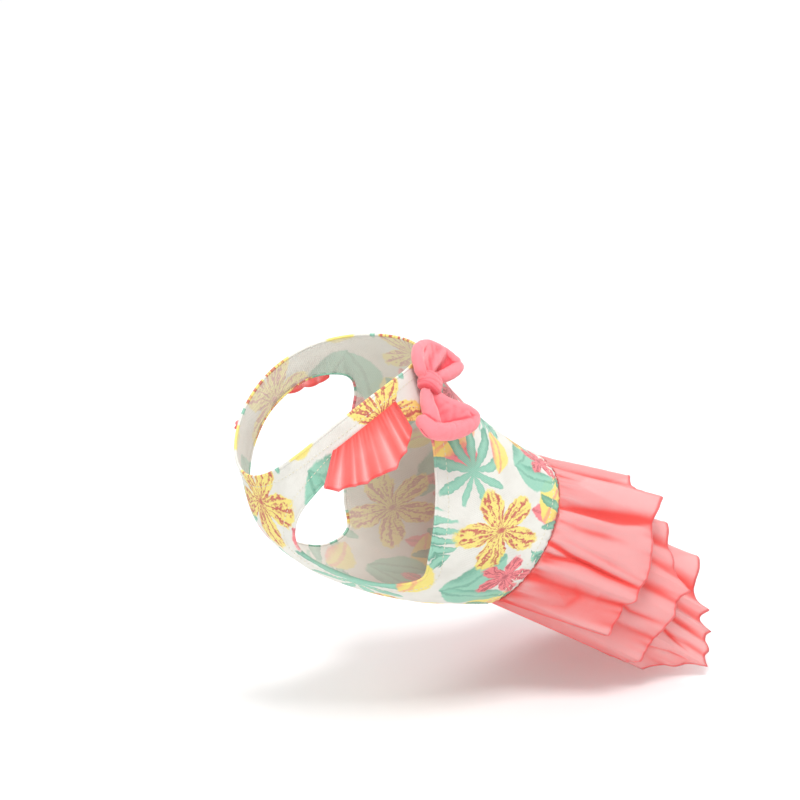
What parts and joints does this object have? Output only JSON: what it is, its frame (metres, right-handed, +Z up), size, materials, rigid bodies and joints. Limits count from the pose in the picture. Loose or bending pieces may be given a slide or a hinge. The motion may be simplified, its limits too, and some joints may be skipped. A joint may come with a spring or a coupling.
{
  "type": "dog dress",
  "caption": "Small dog's dress in its worn form: jersey bodice with neck and foreleg openings, shoulder frills, gathered tiered skirt and a padded bow at the nape.",
  "frame": {"origin": "inside of the bodice's back panel where it rests on the withers, at the middle of the neckline's back edge", "axes": "+X towards the dog's tail, +Y to the dog's right, +Z up, with the dress in the form it has on a sitting dog"},
  "size_m": [0.2451, 0.1187, 0.1894],
  "materials": {
    "printed_jersey": "matt cotton jersey with a tropical leaf and flower print",
    "coral_voile": "thin crinkled voile, slightly translucent",
    "coral_fleece": "soft brushed fleece"
  },
  "bodies": {
    "root": {"bodice": "printed_jersey", "skirt_tier_top": "coral_voile", "skirt_tier_middle": "coral_voile", "skirt_tier_bottom": "coral_voile", "shoulder_frill_left": "coral_voile", "shoulder_frill_right": "coral_voile", "bow_knot": "coral_fleece", "bow_loop_lower": "coral_fleece", "bow_loop_upper": "coral_fleece"}
  },
  "joints": []
}
